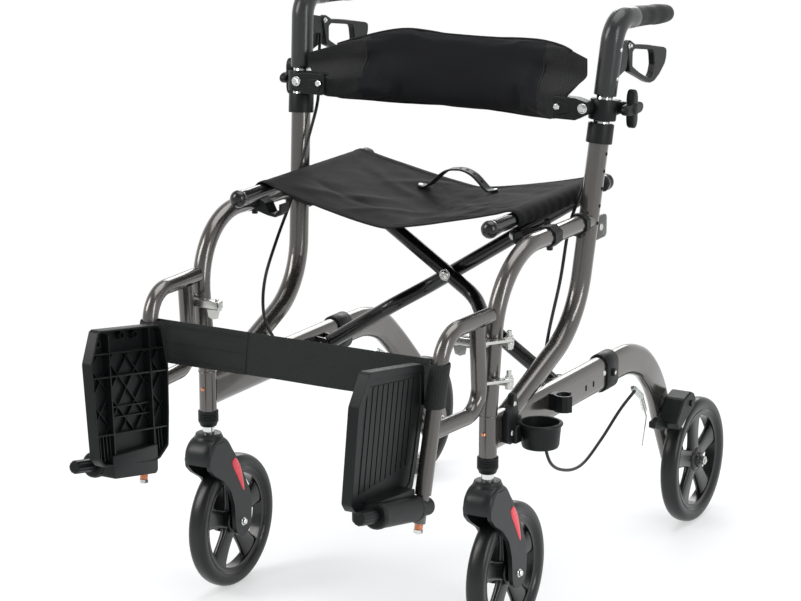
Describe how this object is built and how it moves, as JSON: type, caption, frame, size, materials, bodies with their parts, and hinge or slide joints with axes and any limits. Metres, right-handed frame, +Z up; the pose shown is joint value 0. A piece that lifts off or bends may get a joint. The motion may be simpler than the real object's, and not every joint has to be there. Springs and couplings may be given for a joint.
{
  "type": "folding rollator",
  "caption": "Folding rollator with cross-braced frame, sling seat, padded backrest band, loop brakes and swing-away footrests.",
  "frame": {"origin": "centre of the object's bounding box at floor level", "axes": "+Z up, +X towards the side that carries the cup holder, -Y towards the casters and footrests, +Y towards the grips"},
  "size_m": [0.599, 1.1094, 0.8623],
  "materials": {
    "champagne_paint": "champagne grey metallic gloss lacquer",
    "black_paint": "black gloss powder coat",
    "black_plastic": "fine-grained moulded black plastic",
    "dark_grey_casing": "satin dark grey moulded casing",
    "zinc": "bright zinc-plated steel",
    "chrome": "polished chrome plate",
    "copper_button": "copper-coloured plated button",
    "wheel_black": "one-piece satin black wheel and tread",
    "black_nylon": "woven black nylon",
    "dark_webbing": "dark green-grey webbing with pile",
    "cable_jacket": "smooth black cable jacket"
  },
  "bodies": {
    "frame_right": {"side_frame_right": "champagne_paint", "stem_collar_right": "black_plastic", "leg_collar_right": "black_plastic", "height_collar_right": "black_plastic", "rail_holder_front_right": "black_plastic", "rail_holder_rear_right": "black_plastic", "brake_cable_right": "cable_jacket", "cup_holder": "black_plastic", "cane_clip": "black_plastic"},
    "cross_front": {"cross_tube_front": "black_paint", "seat_rail_left": "black_paint"},
    "cross_rear": {"cross_tube_rear": "black_paint", "seat_rail_right": "black_paint"},
    "frame_left": {"side_frame_left": "champagne_paint", "stem_collar_left": "black_plastic", "leg_collar_left": "black_plastic", "height_collar_left": "black_plastic", "rail_holder_front_left": "black_plastic", "rail_holder_rear_left": "black_plastic", "brake_cable_left": "cable_jacket"},
    "link_right": {"cross_link_right": "black_paint"},
    "link_left": {"cross_link_left": "black_paint"},
    "seat_body": {"seat_sling": "black_nylon"},
    "grab_body": {"grab_strap": "black_plastic"},
    "caster_right": {"caster_fork_right": "black_plastic", "caster_stem_right": "chrome"},
    "front_wheel_body_right": {"front_wheel_right": "wheel_black"},
    "button_body_right": {"spring_button_right": "copper_button"},
    "leg_right": {"rear_leg_right": "champagne_paint", "brake_housing_right": "black_plastic"},
    "rear_wheel_body_right": {"rear_wheel_right": "wheel_black"},
    "shoe_body_right": {"brake_shoe_right": "zinc"},
    "handle_body_right": {"handle_right": "dark_grey_casing", "backrest_clamp_right": "black_plastic"},
    "lever_body_right": {"brake_lever_right": "black_plastic"},
    "knob_body_right": {"clamp_knob_right": "black_plastic"},
    "bracket_body_right": {"backrest_bracket_right": "black_plastic", "backrest_band": "black_nylon"},
    "hanger_body_right": {"footrest_hanger_right": "champagne_paint", "calf_strap": "dark_webbing"},
    "latch_body_right": {"hanger_latch_right": "zinc"},
    "stem_body_right": {"footplate_stem_right": "champagne_paint"},
    "plate_body_right": {"footplate_right": "black_plastic"},
    "caster_left": {"caster_fork_left": "black_plastic", "caster_stem_left": "chrome"},
    "front_wheel_body_left": {"front_wheel_left": "wheel_black"},
    "button_body_left": {"spring_button_left": "copper_button"},
    "leg_left": {"rear_leg_left": "champagne_paint", "brake_housing_left": "black_plastic"},
    "rear_wheel_body_left": {"rear_wheel_left": "wheel_black"},
    "shoe_body_left": {"brake_shoe_left": "zinc"},
    "handle_body_left": {"handle_left": "dark_grey_casing", "backrest_clamp_left": "black_plastic"},
    "lever_body_left": {"brake_lever_left": "black_plastic"},
    "knob_body_left": {"clamp_knob_left": "black_plastic"},
    "bracket_body_left": {"backrest_bracket_left": "black_plastic"},
    "hanger_body_left": {"footrest_hanger_left": "champagne_paint"},
    "latch_body_left": {"hanger_latch_left": "zinc"},
    "stem_body_left": {"footplate_stem_left": "champagne_paint"},
    "plate_body_left": {"footplate_left": "black_plastic"}
  },
  "joints": [
    {"name": "fold", "type": "hinge", "parent": "frame_right", "child": "cross_front", "pos_m": [0.19695, 0.048, 0.318], "axis": [0, 1, 0], "range_deg": [0, 32], "deforming": ["seat_sling", "backrest_band", "calf_strap", "brake_cable_right", "brake_cable_left"]},
    {"name": "cross_pivot", "type": "hinge", "parent": "cross_front", "child": "cross_rear", "pos_m": [-0.00655, 0.093, 0.44995], "axis": [0, 1, 0], "range_deg": [-64.5, 0]},
    {"name": "left_frame_hinge", "type": "hinge", "parent": "cross_rear", "child": "frame_left", "pos_m": [-0.21005, 0.08, 0.318], "axis": [0, 1, 0], "range_deg": [0, 32.5]},
    {"name": "link_pivot_right", "type": "hinge", "parent": "cross_rear", "child": "link_right", "pos_m": [0.09649, 0.117, 0.51676], "axis": [0, 1, 0], "range_deg": [0, 101.3]},
    {"name": "link_pivot_left", "type": "hinge", "parent": "cross_front", "child": "link_left", "pos_m": [-0.10959, 0.093, 0.51676], "axis": [0, 1, 0], "range_deg": [-101.3, 0]},
    {"name": "seat_hinge", "type": "hinge", "parent": "cross_front", "child": "seat_body", "pos_m": [-0.21005, -0.014, 0.59], "axis": [0, 1, 0], "range_deg": [-32.5, 0]},
    {"name": "grab_strap_shift", "type": "slide", "parent": "seat_body", "child": "grab_body", "axis": [-1, 0, 0], "range_m": [0, 0.102]},
    {"name": "caster_swivel_right", "type": "hinge", "parent": "frame_right", "child": "caster_right", "pos_m": [0.22245, -0.214, 0.253], "axis": [0, 0, 1], "continuous": true},
    {"name": "front_wheel_spin_right", "type": "hinge", "parent": "caster_right", "child": "front_wheel_body_right", "pos_m": [0.22245, -0.157, 0.1], "axis": [1, 0, 0], "continuous": true},
    {"name": "spring_button_press_right", "type": "slide", "parent": "frame_right", "child": "button_body_right", "axis": [0, 1, 0], "range_m": [0, 0.003], "stiffness_N_per_m": 600, "springref_m": -0.002},
    {"name": "rear_leg_slide_right", "type": "slide", "parent": "frame_right", "child": "leg_right", "axis": [0, 1, 0], "range_m": [-0.025, 0.05]},
    {"name": "rear_wheel_spin_right", "type": "hinge", "parent": "leg_right", "child": "rear_wheel_body_right", "pos_m": [0.24145, 0.454, 0.1], "axis": [1, 0, 0], "continuous": true},
    {"name": "handle_height_right", "type": "slide", "parent": "frame_right", "child": "handle_body_right", "axis": [0.0568, 0.1427, 0.9881], "range_m": [0, 0.1]},
    {"name": "brake_lever_pull_right", "type": "hinge", "parent": "handle_body_right", "child": "lever_body_right", "pos_m": [0.24931, 0.1577, 0.8036], "axis": [1, 0, 0], "range_deg": [0, 14], "stiffness_Nm_per_rad": 1, "springref_deg": -5.73},
    {"name": "brake_shoe_turn_right", "type": "hinge", "parent": "leg_right", "child": "shoe_body_right", "pos_m": [0.24545, 0.3943, 0.2103], "axis": [1, 0, 0], "range_deg": [0, 7.5]},
    {"name": "clamp_knob_turn_right", "type": "hinge", "parent": "handle_body_right", "child": "knob_body_right", "pos_m": [0.26795, 0.116, 0.7205], "axis": [1, 0, 0], "range_deg": [0, 360]},
    {"name": "backrest_bracket_hinge_right", "type": "hinge", "parent": "handle_body_right", "child": "bracket_body_right", "pos_m": [0.23035, 0.0605, 0.7263], "axis": [0, 1, 0], "range_deg": [0, 112.5]},
    {"name": "footrest_swing_right", "type": "hinge", "parent": "frame_right", "child": "hanger_body_right", "pos_m": [0.25395, -0.214, 0.4535], "axis": [0, 0, 1], "range_deg": [0, 90]},
    {"name": "hanger_latch_turn_right", "type": "hinge", "parent": "hanger_body_right", "child": "latch_body_right", "pos_m": [0.18963, -0.2365, 0.4535], "axis": [0, 0, 1], "range_deg": [0, 12], "stiffness_Nm_per_rad": 0.1, "springref_deg": -5.73},
    {"name": "footplate_height_right", "type": "slide", "parent": "hanger_body_right", "child": "stem_body_right", "axis": [-0.0472, -0.1779, -0.9829], "range_m": [0, 0.05]},
    {"name": "footplate_fold_right", "type": "hinge", "parent": "stem_body_right", "child": "plate_body_right", "pos_m": [0.21475, -0.403, 0.26261], "axis": [0, -0.9822, 0.188], "range_deg": [0, 88]},
    {"name": "caster_swivel_left", "type": "hinge", "parent": "frame_left", "child": "caster_left", "pos_m": [-0.23555, -0.214, 0.253], "axis": [0, 0, -1], "continuous": true},
    {"name": "front_wheel_spin_left", "type": "hinge", "parent": "caster_left", "child": "front_wheel_body_left", "pos_m": [-0.23555, -0.157, 0.1], "axis": [1, 0, 0], "continuous": true},
    {"name": "spring_button_press_left", "type": "slide", "parent": "frame_left", "child": "button_body_left", "axis": [0, 1, 0], "range_m": [0, 0.003], "stiffness_N_per_m": 600, "springref_m": -0.002},
    {"name": "rear_leg_slide_left", "type": "slide", "parent": "frame_left", "child": "leg_left", "axis": [0, 1, 0], "range_m": [-0.025, 0.05]},
    {"name": "rear_wheel_spin_left", "type": "hinge", "parent": "leg_left", "child": "rear_wheel_body_left", "pos_m": [-0.25455, 0.454, 0.1], "axis": [1, 0, 0], "continuous": true},
    {"name": "handle_height_left", "type": "slide", "parent": "frame_left", "child": "handle_body_left", "axis": [-0.0568, 0.1427, 0.9881], "range_m": [0, 0.101]},
    {"name": "brake_lever_pull_left", "type": "hinge", "parent": "handle_body_left", "child": "lever_body_left", "pos_m": [-0.26241, 0.1577, 0.8036], "axis": [1, 0, 0], "range_deg": [0, 14], "stiffness_Nm_per_rad": 1, "springref_deg": -5.73},
    {"name": "brake_shoe_turn_left", "type": "hinge", "parent": "leg_left", "child": "shoe_body_left", "pos_m": [-0.25855, 0.3943, 0.2103], "axis": [1, 0, 0], "range_deg": [0, 7.5]},
    {"name": "clamp_knob_turn_left", "type": "hinge", "parent": "handle_body_left", "child": "knob_body_left", "pos_m": [-0.28105, 0.116, 0.7205], "axis": [1, 0, 0], "range_deg": [0, 360]},
    {"name": "backrest_bracket_hinge_left", "type": "hinge", "parent": "handle_body_left", "child": "bracket_body_left", "pos_m": [-0.24345, 0.0605, 0.7263], "axis": [0, -1, 0], "range_deg": [0, 112.5]},
    {"name": "footrest_swing_left", "type": "hinge", "parent": "frame_left", "child": "hanger_body_left", "pos_m": [-0.26705, -0.214, 0.4535], "axis": [0, 0, -1], "range_deg": [0, 90]},
    {"name": "hanger_latch_turn_left", "type": "hinge", "parent": "hanger_body_left", "child": "latch_body_left", "pos_m": [-0.20273, -0.2365, 0.4535], "axis": [0, 0, -1], "range_deg": [0, 12], "stiffness_Nm_per_rad": 0.1, "springref_deg": -5.73},
    {"name": "footplate_height_left", "type": "slide", "parent": "hanger_body_left", "child": "stem_body_left", "axis": [0.0472, -0.1779, -0.9829], "range_m": [0, 0.05]},
    {"name": "footplate_fold_left", "type": "hinge", "parent": "stem_body_left", "child": "plate_body_left", "pos_m": [-0.22785, -0.403, 0.26261], "axis": [0, 0.9822, -0.188], "range_deg": [0, 88]}
  ],
  "couplings": [
    {"joint": "cross_pivot", "follows": "fold", "ratio": -2},
    {"joint": "left_frame_hinge", "follows": "fold", "ratio": 1},
    {"joint": "link_pivot_right", "follows": "fold", "ratio": 3.15},
    {"joint": "link_pivot_left", "follows": "fold", "ratio": -3.15},
    {"joint": "seat_hinge", "follows": "fold", "ratio": -1},
    {"joint": "grab_strap_shift", "follows": "fold", "m_per_rad": 0.1801},
    {"joint": "brake_shoe_turn_right", "follows": "brake_lever_pull_right", "ratio": 0.5},
    {"joint": "backrest_bracket_hinge_right", "follows": "fold", "ratio": 3.5},
    {"joint": "brake_shoe_turn_left", "follows": "brake_lever_pull_left", "ratio": 0.5},
    {"joint": "backrest_bracket_hinge_left", "follows": "fold", "ratio": 3.5},
    {"joint": "handle_height_left", "follows": "handle_height_right", "ratio": 1}
  ]
}
